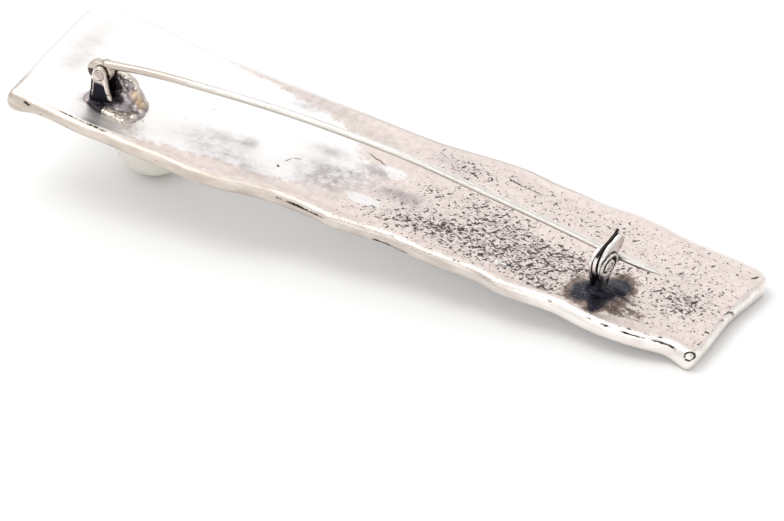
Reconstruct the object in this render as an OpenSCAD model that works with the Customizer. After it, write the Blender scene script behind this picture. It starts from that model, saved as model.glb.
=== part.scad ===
// Pearl bar brooch, lying as it comes to rest on a table: face down on its pearl, pin side up.
// A long wavy silver bar carries a hinge, a pin and a safety catch on its back.
// X runs along the bar away from the pearl, Y across it, and Z is up.
// The origin is the middle of the footprint, on the table.

/* [Bar] */
// Length of the bar
bar_len = 75.8; // [70:0.2:80]
// Mean width of the bar, which its edges wander about
bar_w = 18.3; // [17.5:0.1:20]
// Thickness at the pearl end
thick_left = 1.3; // [1.1:0.1:1.6]
// Thickness at the catch end
thick_right = 1.8; // [1.4:0.1:2.0]
// How far the rounded rim reaches in from the edge
rim = 0.65; // [0.45:0.05:0.85]
// Height of the hammered waves on both faces
wave = 0.08; // [0:0.02:0.12]

/* [Pearl] */
// Diameter of the pearl
pearl_d = 8.4; // [7.6:0.1:8.8]
// Distance from the pearl's middle to the near end of the bar
pearl_inset = 12.3; // [10:0.1:15]
// Radius of the peg that the pearl is set on
peg_r = 0.5; // [0.4:0.05:0.6]

/* [Pin] */
// Wire radius where the pin leaves the hinge
wire_r = 0.40; // [0.38:0.01:0.42]
// Wire radius along the straight end of the pin
tip_r = 0.34; // [0.30:0.01:0.36]
// Radius of the two rivet shafts
rivet_r = 0.40; // [0.34:0.01:0.42]
// Running clearance round each rivet
fit_gap = 0.04; // [0.02:0.01:0.05]

/* [Catch] */
// Thickness of each cheek of the catch
cheek_t = 0.45; // [0.40:0.01:0.50]
// Width of the slot that the latch turns in
slot_w = 0.62; // [0.58:0.01:0.66]
// Free space on each side of the latch in its slot
latch_gap = 0.11; // [0.08:0.01:0.13]

/* [Hidden] */
$fn = 48;

silver = [0.86, 0.83, 0.81];
bright_silver = [0.93, 0.92, 0.90];
pearl_colour = [0.90, 0.90, 0.84];

// How far each long edge wanders out from half the mean width, at even steps from the pearl end
NEAR = 0;
FAR = 1;
EDGES = [
    [ 0.35,  0.10], [ 0.55,  0.55], [ 0.80,  0.70], [ 1.10,  0.45], [ 1.05, -0.15],
    [ 1.15, -0.25], [ 1.15, -0.30], [ 1.35, -0.40], [ 1.05, -0.40], [ 0.25, -0.45],
    [-0.20, -0.40], [-0.15, -0.45], [ 0.05, -0.45], [-0.30, -0.40], [-0.55,  0.00],
    [-0.30,  0.45], [-0.30,  0.65], [-0.45,  0.30], [ 0.00,  0.20], [-0.20,  0.00],
    [-0.35,  0.40], [ 0.10,  0.15], [ 0.15, -0.40], [-0.20, -0.50], [-0.80, -0.60],
    [-0.15, -1.00]];

// Corner radii as [near edge, far edge]
LEFT_CORNERS = [0.8, 2.8];
RIGHT_CORNERS = [1.2, 1.8];
// Slant of each end, in millimetres along the bar for each millimetre across it
left_slant = -0.02;
right_slant = 0.035;
// Depth of the shallow hollow in the catch end
end_hollow = 0.45;

// Beads where the silver ran together at the corners, which thicken its front face:
// [which end, which edge, extra thickness]
CORNER_BEADS = [[-1, -1, 1.0], [-1, 1, 0.3], [1, -1, 0.4], [1, 1, 0.4]];
bead_reach = 2.4;

// Height of the wire's middle above the back of the bar, as [place along the bar, height]
PIN_ARCH = [
    [-29.6, 4.03], [-28.2, 4.37], [-24.5, 5.02], [-19.5, 5.52], [-12.0, 6.08],
    [-4.0, 6.28], [4.0, 6.08], [11.0, 5.43], [17.0, 4.84], [20.5, 4.44], [23.9, 4.01],
    [27.5, 3.60]];
pin_straight = [27.1, 3.645];
pin_shoulder = [29.2, 3.54];
point_len = 1.9;
pin_drift = 0.0337;

// Places on the back of the bar, as [along, across]
hinge_at = [-29.5, -4.95];
catch_at = [26.05, -5.0];
hinge_h = 3.3;
head_t = 0.92;
head_gap = 0.10;
ear_t = 0.5;
catch_turn = -9;
catch_lean = 5;
latch_pivot = [-0.75, 4.33];
root = 0.5;

half_len = bar_len / 2;
pearl_r = pearl_d / 2;
pearl_at = [pearl_inset - half_len, 0.35];
pearl_gap = 0.15;
pearl_n = -thick_at(pearl_at[0]) - pearl_gap - pearl_r;

// The bar leans on the pearl and on the two corner beads of its far end
rest_span = half_len - rim - pearl_at[0];
rest_drop = pearl_n + thick_right + 0.82 * CORNER_BEADS[2][2];
lie_tilt = asin(pearl_r / norm([rest_span, rest_drop])) - atan2(rest_drop, rest_span);
lift = pearl_r + pearl_at[0] * sin(lie_tilt) - pearl_n * cos(lie_tilt);
footprint_shift = [0.09, 0.33];

function thick_at(l) =
    thick_left + (thick_right - thick_left) * min(1, max(0, l / bar_len + 0.5));
function sum(v, i = 0) = i < len(v) ? v[i] + sum(v, i + 1) : 0;
function bead_at(l, w) = sum([
    for (b = CORNER_BEADS)
        let (dl = l - b[0] * (half_len - 0.8), dw = w - b[1] * (bar_w / 2 - 0.9))
        b[2] * exp(-(dl * dl + dw * dw) / (bead_reach * bead_reach))]);

// Smooth curve through evenly spaced rows of a table
function cubic(p0, p1, p2, p3, t) =
    p1 + 0.5 * t * (p2 - p0 + t * (2 * p0 - 5 * p1 + 4 * p2 - p3 + t * (3 * (p1 - p2) + p3 - p0)));
function row(table, i) = table[min(len(table) - 1, max(0, i))];
function table_at(table, column, u) =
    let (x = min(0.9999, max(0, u)) * (len(table) - 1), i = floor(x))
    cubic(row(table, i - 1)[column], row(table, i)[column],
          row(table, i + 1)[column], row(table, i + 2)[column], x - i);

// Smooth closed loop through a few points, with a number of steps between each pair
function loop_through(p, steps) =
    let (n = len(p))
    [for (i = [0:n - 1], k = [0:steps - 1])
        cubic(p[(i + n - 1) % n], p[i], p[(i + 1) % n], p[(i + 2) % n], k / steps)];

// Shallow hammered waves of the back and front faces
function back_wave(l, w) =
    wave * (sin(26 * l + 31 * w) * cos(19 * w - 11 * l) + 0.5 * sin(47 * w + 17 * l));
function front_wave(l, w) = wave * sin(23 * l - 29 * w) * cos(17 * w + 13 * l);

function corner_inset(d, r) = d >= r ? 0 : r - sqrt(max(0, r * r - (r - d) * (r - d)));
function edge_at(l, column) =
    let (left = half_len + l, right = half_len - l)
    bar_w / 2 + table_at(EDGES, column, l / bar_len + 0.5)
        - corner_inset(left, LEFT_CORNERS[column]) - corner_inset(right, RIGHT_CORNERS[column]);
function end_shape(l, w) =
    pow(l / half_len, 6) * (l < 0 ? left_slant * w
        : right_slant * w - end_hollow * exp(-pow((w - 0.5) / 4, 2)));

// One rounded cross-section of the bar, from the near rim round over the back
face_steps = 9;
rim_steps = 6;
function section(l) =
    let (
        near = edge_at(l, NEAR),
        far = edge_at(l, FAR),
        end_gap = min(rim, half_len - abs(l)),
        swell = sqrt(max(0.0025, 1 - pow(1 - end_gap / rim, 2))),
        half_near = (thick_at(l) + bead_at(l, -near)) / 2,
        half_far = (thick_at(l) + bead_at(l, far)) / 2,
        face = near + far - 2 * rim)
    [
        for (i = [0:face_steps])
            let (w = rim - near + face * i / face_steps, half = (thick_at(l) + bead_at(l, w)) / 2)
            [l + end_shape(l, w), w, half * (swell - 1) + back_wave(l, w) * swell],
        for (i = [1:rim_steps - 1])
            let (a = 90 - 180 * i / rim_steps, w = far - rim + rim * cos(a))
            [l + end_shape(l, w), w, half_far * (swell * sin(a) - 1)],
        for (i = [0:face_steps])
            let (w = far - rim - face * i / face_steps, half = (thick_at(l) + bead_at(l, w)) / 2)
            [l + end_shape(l, w), w, -half * (swell + 1) + front_wave(l, w) * swell],
        for (i = [1:rim_steps - 1])
            let (a = -90 - 180 * i / rim_steps, w = rim - near + rim * cos(a))
            [l + end_shape(l, w), w, half_near * (swell * sin(a) - 1)]
    ];

// Places of the cross-sections: close together at the rounded ends, even between them
end_places = [0.0, 0.04, 0.14, 0.3, 0.5, 0.8, 1.2, 1.8];
body_steps = 46;
places = [
    for (d = end_places) d - half_len,
    for (i = [1:body_steps - 1]) -half_len + 1.8 + (bar_len - 3.6) * i / body_steps,
    for (i = [len(end_places) - 1:-1:0]) half_len - end_places[i]
];

// A closed skin over a list of rings that all have the same number of points
module skin(rings) {
    n = len(rings[0]);
    last = len(rings) - 1;
    sides = [
        for (j = [0:last - 1], i = [0:n - 1])
            let (a = j * n + i, b = j * n + (i + 1) % n)
            each [[a, b, b + n], [a, b + n, a + n]]
    ];
    caps = [
        for (i = [1:n - 2])
            each [[0, i + 1, i], [last * n, last * n + i, last * n + i + 1]]
    ];
    polyhedron(points = [for (r = rings) each r], faces = concat(sides, caps), convexity = 4);
}

// Everything fixed to the bar is drawn in the bar's own frame: back face at zero, level
module as_it_lies() {
    translate([footprint_shift[0], footprint_shift[1], lift])
        rotate([0, lie_tilt, 0]) children();
}

module in_catch() {
    translate([catch_at[0], catch_at[1], 0])
        rotate([0, 0, catch_turn]) rotate([0, catch_lean, 0]) children();
}

// A flat sheet across the catch, whose outline is given as [across, up]
module across_sheet(outline, from, thick) {
    translate([from, 0, 0]) rotate([90, 0, 90]) linear_extrude(thick) polygon(outline);
}

// A flat sheet along the bar, whose outline is given as [along, up]
module along_sheet(outline, from, thick) {
    translate([0, from + thick, 0]) rotate([90, 0, 0]) linear_extrude(thick) polygon(outline);
}

// A low mound of solder, with its top at a height above the back
module solder(at, r, h) {
    ball_r = (r * r + h * h) / (2 * h);
    translate([at[0], at[1], 0]) intersection() {
        translate([0, 0, h - ball_r]) sphere(ball_r, $fn = 64);
        translate([0, 0, -root]) cylinder(h = root + h + 1, r = r + 0.5);
    }
}

// Hinge bracket: a narrow near ear, a broad far ear and the web between their feet
NEAR_EAR = [
    [-30.35, -0.5], [-30.30, 1.4], [-30.34, 3.0], [-30.18, 3.75], [-29.72, 4.12], [-29.2, 4.02],
    [-28.85, 3.5], [-28.62, 2.7], [-28.3, 1.7], [-27.85, 0.8], [-27.6, -0.5]];
FAR_EAR = [
    [-30.3, -0.5], [-30.35, 1.8], [-30.28, 3.3], [-29.9, 3.98], [-29.3, 4.08], [-28.7, 3.6],
    [-28.1, 3.34], [-27.3, 3.38], [-26.6, 3.12], [-26.05, 2.6], [-25.75, 1.85], [-25.5, 1.0],
    [-25.3, 0.2], [-25.2, -0.5]];
module hinge_bracket() {
    inner = head_t / 2 + head_gap;
    difference() {
        union() {
            along_sheet(NEAR_EAR, hinge_at[1] - inner - ear_t, ear_t);
            along_sheet(FAR_EAR, hinge_at[1] + inner, ear_t);
            translate([-30.2, hinge_at[1] - inner - 0.1, -root])
                cube([2.4, 2 * inner + 0.2, root + 0.6]);
        }
        translate([hinge_at[0], hinge_at[1] - 2, hinge_h])
            rotate([-90, 0, 0]) cylinder(h = 4, r = rivet_r + fit_gap / 2);
    }
}

// Catch body: two cheeks on one foot, open to the far side and above the pin
REAR_CHEEK = [
    [-0.40, 0.0], [-0.62, 1.0], [-1.35, 2.6], [-1.80, 3.7], [-1.95, 4.5], [-1.50, 5.22],
    [-0.72, 5.62], [0.15, 5.66], [0.85, 5.35], [1.08, 4.7], [1.08, 3.9], [0.85, 3.2],
    [0.50, 2.3], [0.34, 1.1], [0.30, 0.0]];
FRONT_CHEEK = [
    [-0.25, 0.0], [-0.32, 1.0], [-0.70, 2.1], [-1.62, 3.45], [-1.95, 4.4], [-1.88, 5.3],
    [-1.60, 6.05], [-1.02, 6.62], [-0.25, 6.92], [0.40, 7.25], [1.02, 7.10], [1.40, 6.55],
    [1.42, 5.9], [1.05, 5.35], [0.85, 4.9], [1.05, 4.4], [1.36, 3.95], [1.38, 3.55],
    [0.78, 3.05], [0.40, 2.1], [0.24, 1.0], [0.20, 0.0]];
boss_r = 1.2;
module catch_body() {
    back = -2 * cheek_t - slot_w;
    difference() {
        union() {
            across_sheet(loop_through(FRONT_CHEEK, 2), -cheek_t, cheek_t);
            across_sheet(loop_through(REAR_CHEEK, 2), back, cheek_t);
            translate([back + 0.05, -0.3, -root]) cube([-back - 0.1, 0.5, root + 1.5]);
            translate([-cheek_t / 2, latch_pivot[0], latch_pivot[1]])
                rotate([0, 90, 0]) cylinder(h = cheek_t / 2 + 0.12, r = boss_r);
        }
        translate([-3, latch_pivot[0], latch_pivot[1]])
            rotate([0, 90, 0]) cylinder(h = 4, r = rivet_r + fit_gap / 2);
    }
}

// Bar of hammered silver with everything that is soldered to it
module bar() {
    color(silver) as_it_lies() {
        skin([for (l = places) section(l)]);
        solder([-28.2, -4.7], 2.8, 0.45);
        solder([-26.9, -3.9], 1.7, 1.3);
        solder([25.9, -5.0], 3.0, 0.45);
        hinge_bracket();
        in_catch() catch_body();
        translate([pearl_at[0], pearl_at[1], pearl_n - 0.4])
            cylinder(h = pearl_r + 1.4, r = peg_r);
    }
}

// Round pearl, half drilled for its peg
module pearl() {
    color(pearl_colour) as_it_lies() translate([pearl_at[0], pearl_at[1], pearl_n])
        difference() {
            sphere(pearl_r, $fn = 96);
            translate([0, 0, -0.45]) cylinder(h = pearl_r + 1, r = peg_r + 0.05);
        }
}

// Place of the wire's middle, from its place along the bar and its height
function wire_point(l, n) = [l, hinge_at[1] + (l - hinge_at[0]) * pin_drift, n];
function arch_at(l) =
    let (i = max([for (k = [0:len(PIN_ARCH) - 2]) PIN_ARCH[k][0] <= l ? k : 0]),
         p = PIN_ARCH[i], q = PIN_ARCH[i + 1], before = row(PIN_ARCH, i - 1),
         after = row(PIN_ARCH, i + 2), span = q[0] - p[0], t = (l - p[0]) / span,
         rise_p = (q[1] - before[1]) / (q[0] - before[0]) * span,
         rise_q = (after[1] - p[1]) / (after[0] - p[0]) * span)
    p[1] + t * (rise_p + t * (3 * (q[1] - p[1]) - 2 * rise_p - rise_q
        + t * (2 * (p[1] - q[1]) + rise_p + rise_q)));

wire_sides = 16;
wire_rings = 46;
wire_from = PIN_ARCH[0][0] + 0.05;
wire_to = PIN_ARCH[len(PIN_ARCH) - 1][0] - 0.05;
function wire_ring(l) =
    let (
        slope = (arch_at(min(wire_to, l + 0.05)) - arch_at(max(wire_from, l - 0.05)))
            / (min(wire_to, l + 0.05) - max(wire_from, l - 0.05)),
        along = [1, pin_drift, slope] / norm([1, pin_drift, slope]),
        side = cross(along, [0, 0, 1]) / norm(cross(along, [0, 0, 1])),
        up = cross(side, along),
        r = wire_r + (tip_r - 0.03 - wire_r) * (l - wire_from) / (wire_to - wire_from),
        centre = wire_point(l, arch_at(l)))
    [for (i = [0:wire_sides - 1])
        let (a = 360 * i / wire_sides) centre + r * cos(a) * up - r * sin(a) * side];

// The straight free end of the wire, with its ground point
module straight_end() {
    from = wire_point(pin_straight[0], pin_straight[1]);
    run = wire_point(pin_shoulder[0], pin_shoulder[1]) - from;
    len = norm(run);
    translate(from) rotate([0, acos(run[2] / len), atan2(run[1], run[0])])
        rotate_extrude() polygon([
            [0, 0], [tip_r, 0], [tip_r, len], [0.05, len + point_len], [0, len + point_len]]);
}

// Pin: a flat drilled head, an arched wire, a straight end and a ground point
module pin_stem() {
    head_y = hinge_at[1] - head_t / 2;
    color(bright_silver) as_it_lies() {
        difference() {
            union() {
                translate([hinge_at[0] - 0.62, head_y, hinge_h - 0.06])
                    rotate([-90, 0, 0]) cylinder(h = head_t, r = 1.04);
                translate([hinge_at[0], head_y, hinge_h])
                    rotate([-90, 0, 0]) cylinder(h = head_t, r = 1.06);
            }
            translate([hinge_at[0], head_y - 1, hinge_h])
                rotate([-90, 0, 0]) cylinder(h = head_t + 2, r = rivet_r + fit_gap);
        }
        skin([for (i = [0:wire_rings]) wire_ring(wire_from + (wire_to - wire_from) * i / wire_rings)]);
        straight_end();
    }
}

// Rivet with a low round head on each end, along +Y from the origin
module rivet(length, head_r, head_h) {
    rotate([-90, 0, 0]) {
        cylinder(h = length, r = rivet_r);
        translate([0, 0, -head_h]) cylinder(h = head_h, r1 = head_r - 0.1, r2 = head_r);
        translate([0, 0, length]) cylinder(h = head_h, r1 = head_r, r2 = head_r - 0.1);
    }
}

// Rivet through the hinge ears and the pin's head
module hinge_rivet() {
    inner = head_t / 2 + head_gap;
    reach = inner + ear_t + 0.03;
    color(silver) as_it_lies() translate([hinge_at[0], hinge_at[1] - reach, hinge_h])
        rivet(2 * reach, 0.58, 0.15);
}

// Latch of the safety catch: a claw that turns over the pin, shown turned back
CLAW = [
    [-0.95, 2.55], [-1.55, 3.0], [-1.98, 3.9], [-2.12, 4.8], [-1.86, 5.6], [-1.15, 6.16],
    [-0.1, 6.6], [0.62, 7.02], [1.05, 7.45], [0.82, 6.8], [0.35, 6.2], [0.08, 5.5],
    [0.1, 4.8], [0.05, 4.0], [-0.2, 3.2]];
module catch_latch() {
    color(bright_silver) as_it_lies() in_catch() difference() {
        across_sheet(loop_through(CLAW, 2), -cheek_t - slot_w + latch_gap, slot_w - 2 * latch_gap);
        translate([-3, latch_pivot[0], latch_pivot[1]])
            rotate([0, 90, 0]) cylinder(h = 4, r = rivet_r + fit_gap);
    }
}

// Rivet that the latch turns on, with its larger head on the outer cheek
module latch_rivet() {
    reach = 2 * cheek_t + slot_w + 0.03;
    color(bright_silver) as_it_lies() in_catch() translate([0, latch_pivot[0], latch_pivot[1]])
        rotate([0, 90, 0]) {
            translate([0, 0, -reach]) cylinder(h = reach + 0.15, r = rivet_r);
            translate([0, 0, -reach - 0.15]) cylinder(h = 0.15, r = 0.55);
            translate([0, 0, 0.15]) cylinder(h = 0.2, r1 = 0.7, r2 = 0.55);
        }
}

bar();
pearl();
pin_stem();
hinge_rivet();
catch_latch();
latch_rivet();
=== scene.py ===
# Pearl bar brooch lying on its face on a pale table, pin side up.
# Lengths are in millimetres in the bar's own frame (along, across, up) until a mesh is made.
import math

import bmesh
import bpy
import numpy as np
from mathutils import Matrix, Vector, noise


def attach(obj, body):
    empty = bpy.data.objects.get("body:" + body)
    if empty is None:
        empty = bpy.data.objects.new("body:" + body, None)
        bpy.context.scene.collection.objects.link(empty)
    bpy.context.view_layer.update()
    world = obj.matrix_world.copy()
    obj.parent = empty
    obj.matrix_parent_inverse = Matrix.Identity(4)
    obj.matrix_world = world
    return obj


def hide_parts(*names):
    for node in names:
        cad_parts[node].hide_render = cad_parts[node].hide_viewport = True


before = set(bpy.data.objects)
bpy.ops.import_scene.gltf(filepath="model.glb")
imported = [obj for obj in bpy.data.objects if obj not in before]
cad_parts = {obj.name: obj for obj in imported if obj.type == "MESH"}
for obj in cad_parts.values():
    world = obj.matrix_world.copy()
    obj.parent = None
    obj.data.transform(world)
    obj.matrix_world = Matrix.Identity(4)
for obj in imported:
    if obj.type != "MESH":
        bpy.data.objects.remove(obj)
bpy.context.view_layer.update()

MM = 0.001

# Sizes of the bar and of the pieces on it
BAR_LEN = 75.8
BAR_W = 18.3
THICK_LEFT = 1.3
THICK_RIGHT = 1.8
RIM = 0.65
WAVE = 0.08
PEARL_D = 8.4
PEARL_INSET = 12.3
PEG_R = 0.5
PEARL_GAP = 0.15
WIRE_R = 0.4
TIP_R = 0.34
RIVET_R = 0.4
FIT_GAP = 0.04
CHEEK_T = 0.45
CHEEK_BEVEL = 0.12
SLOT_W = 0.62
LATCH_GAP = 0.11

# How far the near and the far edge wander out, at even steps from the pearl end
EDGES = np.array([
    (0.35, 0.1), (0.55, 0.55), (0.8, 0.7), (1.1, 0.45), (1.05, -0.15),
    (1.15, -0.25), (1.15, -0.3), (1.35, -0.4), (1.05, -0.4), (0.25, -0.45),
    (-0.2, -0.4), (-0.15, -0.45), (0.05, -0.45), (-0.3, -0.4), (-0.55, 0),
    (-0.3, 0.45), (-0.3, 0.65), (-0.45, 0.3), (0, 0.2), (-0.2, 0),
    (-0.35, 0.4), (0.1, 0.15), (0.15, -0.4), (-0.2, -0.5), (-0.8, -0.6),
    (-0.15, -1)])
NEAR = 0
FAR = 1
LEFT_CORNERS = (0.8, 2.8)
RIGHT_CORNERS = (1.2, 1.8)
LEFT_SLANT = -0.02
RIGHT_SLANT = 0.035
END_HOLLOW = 0.45
# Beads at the corners: which end, which edge, extra thickness
CORNER_BEADS = ((-1, -1, 1), (-1, 1, 0.3), (1, -1, 0.4), (1, 1, 0.4))
BEAD_REACH = 2.4
BEAD_INSET = (0.8, 0.9)
# Share of a bead's height that is left where it touches the table
BEAD_REST = 0.82

# Middle of the pin wire: place along the bar, height above its back
PIN_ARCH = np.array([
    (-29.6, 4.03), (-28.2, 4.37), (-24.5, 5.02), (-19.5, 5.52), (-12, 6.08), (-4, 6.28),
    (4, 6.08), (11, 5.43), (17, 4.84), (20.5, 4.44), (23.9, 4.01), (27.1, 3.645)])
PIN_SHOULDER = (29.2, 3.54)
POINT_LEN = 1.9
PIN_DRIFT = 0.0337

HINGE_L = -29.5
HINGE_W = -4.95
HINGE_H = 3.3
HEAD_T = 0.92
HEAD_GAP = 0.1
EAR_T = 0.5
CATCH_AT = (26.05, -5)
CATCH_TURN = math.radians(-9)
CATCH_LEAN = math.radians(5)
LATCH_PIVOT = (-0.75, 4.33)

NEAR_EAR = (
    (-30.35, -0.5), (-30.3, 1.4), (-30.34, 3), (-30.18, 3.75), (-29.72, 4.12), (-29.2, 4.02),
    (-28.85, 3.5), (-28.62, 2.7), (-28.3, 1.7), (-27.85, 0.8), (-27.6, -0.5))
FAR_EAR = (
    (-30.3, -0.5), (-30.35, 1.8), (-30.28, 3.3), (-29.9, 3.98), (-29.3, 4.08), (-28.7, 3.6),
    (-28.1, 3.34), (-27.3, 3.38), (-26.6, 3.12), (-26.05, 2.6), (-25.75, 1.85), (-25.5, 1),
    (-25.3, 0.2), (-25.2, -0.5))
REAR_CHEEK = (
    (-0.4, 0), (-0.62, 1), (-1.35, 2.6), (-1.8, 3.7), (-1.95, 4.5), (-1.5, 5.22),
    (-0.72, 5.62), (0.15, 5.66), (0.85, 5.35), (1.08, 4.7), (1.08, 3.9), (0.85, 3.2),
    (0.5, 2.3), (0.34, 1.1), (0.3, 0))
FRONT_CHEEK = (
    (-0.25, 0), (-0.32, 1), (-0.7, 2.1), (-1.62, 3.45), (-1.95, 4.4), (-1.88, 5.3),
    (-1.6, 6.05), (-1.02, 6.62), (-0.25, 6.92), (0.4, 7.25), (1.02, 7.1), (1.4, 6.55),
    (1.42, 5.9), (1.05, 5.35), (0.85, 4.9), (1.05, 4.4), (1.36, 3.95), (1.38, 3.55),
    (0.78, 3.05), (0.4, 2.1), (0.24, 1), (0.2, 0))
CLAW = (
    (-0.95, 2.55), (-1.55, 3), (-1.98, 3.9), (-2.12, 4.8), (-1.86, 5.6), (-1.15, 6.16),
    (-0.1, 6.6), (0.62, 7.02), (1.05, 7.45), (0.82, 6.8), (0.35, 6.2), (0.08, 5.5),
    (0.1, 4.8), (0.05, 4), (-0.2, 3.2))
# Low mound of solder under the catch: along, across, radius, height; and how far it may run out
MOUND = (25.9, -5, 3, 0.45)
MOUND_SKIRT = 0.4

HALF_LEN = BAR_LEN / 2
PEARL_R = PEARL_D / 2
PEARL_AT = (PEARL_INSET - HALF_LEN, 0.35)
LEAN_COS = math.cos(CATCH_LEAN)
LEAN_SIN = math.sin(CATCH_LEAN)
TURN_COS = math.cos(CATCH_TURN)
TURN_SIN = math.sin(CATCH_TURN)


def thick_at(l):
    """Thickness of the bar at a place along it."""
    return THICK_LEFT + (THICK_RIGHT - THICK_LEFT) * np.clip(l / BAR_LEN + 0.5, 0, 1)


PEARL_N = -thick_at(PEARL_AT[0]) - PEARL_GAP - PEARL_R
PEARL_CENTRE = np.array((*PEARL_AT, PEARL_N))
REST_SPAN = HALF_LEN - RIM - PEARL_AT[0]
REST_DROP = PEARL_N + THICK_RIGHT + BEAD_REST * CORNER_BEADS[2][2]
LIE_TILT = math.asin(PEARL_R / math.hypot(REST_SPAN, REST_DROP)) - math.atan2(REST_DROP, REST_SPAN)
LIFT = PEARL_R + PEARL_AT[0] * math.sin(LIE_TILT) - PEARL_N * math.cos(LIE_TILT)
FOOTPRINT_SHIFT = (0.09, 0.33)


def lie(points):
    """World places in metres of points given in the bar's own frame."""
    along, across, up = points.T
    c = math.cos(LIE_TILT)
    s = math.sin(LIE_TILT)
    return MM * np.stack([
        FOOTPRINT_SHIFT[0] + along * c + up * s, FOOTPRINT_SHIFT[1] + across,
        LIFT - along * s + up * c], -1)


def in_catch(points):
    """Bar-frame places of points given in the frame of the catch."""
    x, h, z = points.T
    x, z = x * LEAN_COS + z * LEAN_SIN, -x * LEAN_SIN + z * LEAN_COS
    return np.stack([
        CATCH_AT[0] + x * TURN_COS - h * TURN_SIN,
        CATCH_AT[1] + x * TURN_SIN + h * TURN_COS, z], -1)


def to_catch(points):
    """Catch-frame places of points given in the bar's frame."""
    x, h, z = (points - (*CATCH_AT, 0)).T
    x, h = x * TURN_COS + h * TURN_SIN, -x * TURN_SIN + h * TURN_COS
    return np.stack([x * LEAN_COS - z * LEAN_SIN, h, x * LEAN_SIN + z * LEAN_COS], -1)


def ramp(low, high, x):
    t = np.clip((x - low) / (high - low), 0, 1)
    return t * t * (3 - 2 * t)


def bell(x, middle, width):
    return np.exp(-((x - middle) / width) ** 2)


def cubic(p0, p1, p2, p3, t):
    return p1 + 0.5 * t * (
        p2 - p0 + t * (2 * p0 - 5 * p1 + 4 * p2 - p3 + t * (3 * (p1 - p2) + p3 - p0)))


def wander(l, column):
    """How far one long edge wanders out at each place along the bar."""
    rows = EDGES[:, column]
    x = np.clip(l / BAR_LEN + 0.5, 0, 0.9999) * (len(rows) - 1)
    i = np.floor(x).astype(int)
    around = [rows[np.clip(i + k, 0, len(rows) - 1)] for k in (-1, 0, 1, 2)]
    return cubic(*around, x - i)


def corner_inset(d, r):
    return np.where(d >= r, 0, r - np.sqrt(np.maximum(0, r * r - (r - np.minimum(d, r)) ** 2)))


def edge_at(l, column):
    """Distance of one long edge from the bar's middle line."""
    return (
        BAR_W / 2 + wander(l, column)
        - corner_inset(HALF_LEN + l, LEFT_CORNERS[column])
        - corner_inset(HALF_LEN - l, RIGHT_CORNERS[column]))


def end_shape(l, w):
    hollow = END_HOLLOW * bell(w, 0.5, 4)
    return (l / HALF_LEN) ** 6 * np.where(l < 0, LEFT_SLANT * w, RIGHT_SLANT * w - hollow)


def bead_at(l, w):
    """Extra thickness where the silver ran together at the corners."""
    total = 0
    for end, edge, extra in CORNER_BEADS:
        dl = l - end * (HALF_LEN - BEAD_INSET[0])
        dw = w - edge * (BAR_W / 2 - BEAD_INSET[1])
        total = total + extra * np.exp(-(dl ** 2 + dw ** 2) / BEAD_REACH ** 2)
    return total


def sind(x):
    return np.sin(np.radians(x))


def cosd(x):
    return np.cos(np.radians(x))


def back_wave(l, w):
    return WAVE * (
        sind(26 * l + 31 * w) * cosd(19 * w - 11 * l) + 0.5 * sind(47 * w + 17 * l))


def front_wave(l, w):
    return WAVE * sind(23 * l - 29 * w) * cosd(17 * w + 13 * l)


def mound_height(l, w):
    """Height of the solder mound above the back of the bar."""
    at_l, at_w, r, h = MOUND
    globe = (r * r + h * h) / (2 * h)
    d2 = (l - at_l) ** 2 + (w - at_w) ** 2
    cap = np.sqrt(np.maximum(globe * globe - d2, 0)) - (globe - h)
    return np.maximum(np.where(d2 < (r + MOUND_SKIRT) ** 2, cap, 0), 0)


# One seeded source, so each run gives the same dents
DENTS = np.random.default_rng(7)
# Sets of dents: how many, from and to along the bar, depths, sizes
CATCH_END_DENTS = (260, -8, 37, (0.006, 0.03), (0.35, 1.3))
PEARL_END_DENTS = (60, -37, 0, (0.004, 0.02), (1, 3))
FRONT_DENTS = (320, -37, 37, (0.015, 0.07), (0.7, 2.2))


def dented(l, w, count, left, right, depth, reach):
    """Small shallow dents scattered over one face of the bar."""
    height = 0
    for _ in range(count):
        at_l = DENTS.uniform(left, right)
        at_w = DENTS.uniform(-9, 9)
        size = DENTS.uniform(*reach)
        drop = DENTS.uniform(*depth)
        long = DENTS.uniform(0.7, 1.6)
        d2 = ((l - at_l) / (size * long)) ** 2 + ((w - at_w) / size) ** 2
        height = height - drop * np.exp(-d2)
    return height


def add_object(name, data):
    """A new object in the scene."""
    thing = bpy.data.objects.new(name, data)
    bpy.context.scene.collection.objects.link(thing)
    return thing


def raw_object(name, points, faces):
    """A new mesh object, its points taken as they are."""
    mesh = bpy.data.meshes.new(name)
    mesh.from_pydata(points, [], faces)
    return add_object(name, mesh)


def new_object(name, points, faces, turned=False):
    """A smooth-shaded mesh whose points are in the bar's frame, kept as an attribute too."""
    piece = raw_object(name, lie(points).tolist(), faces)
    piece.data.validate()
    place = piece.data.attributes.new("lay", "FLOAT_VECTOR", "POINT")
    place.data.foreach_set("vector", points.astype(np.float32).ravel())
    piece.data.shade_smooth()
    if turned:
        outward(piece)
    return piece


def outward(piece, welded=()):
    """Joins the numbered points of a closed mesh where they meet, and turns all faces outwards."""
    work = bmesh.new()
    work.from_mesh(piece.data)
    work.verts.ensure_lookup_table()
    bmesh.ops.remove_doubles(work, verts=[work.verts[i] for i in welded], dist=1e-7)
    bmesh.ops.recalc_face_normals(work, faces=work.faces)
    if work.calc_volume(signed=True) < 0:
        bmesh.ops.reverse_faces(work, faces=work.faces)
    work.to_mesh(piece.data)
    work.free()


def add_masks(piece, **masks):
    """Keeps masks for the finish as values at the points of a piece."""
    for name, values in masks.items():
        mask = piece.data.attributes.new(name, "FLOAT", "POINT")
        mask.data.foreach_set("value", np.asarray(values, np.float32).ravel())


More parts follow.
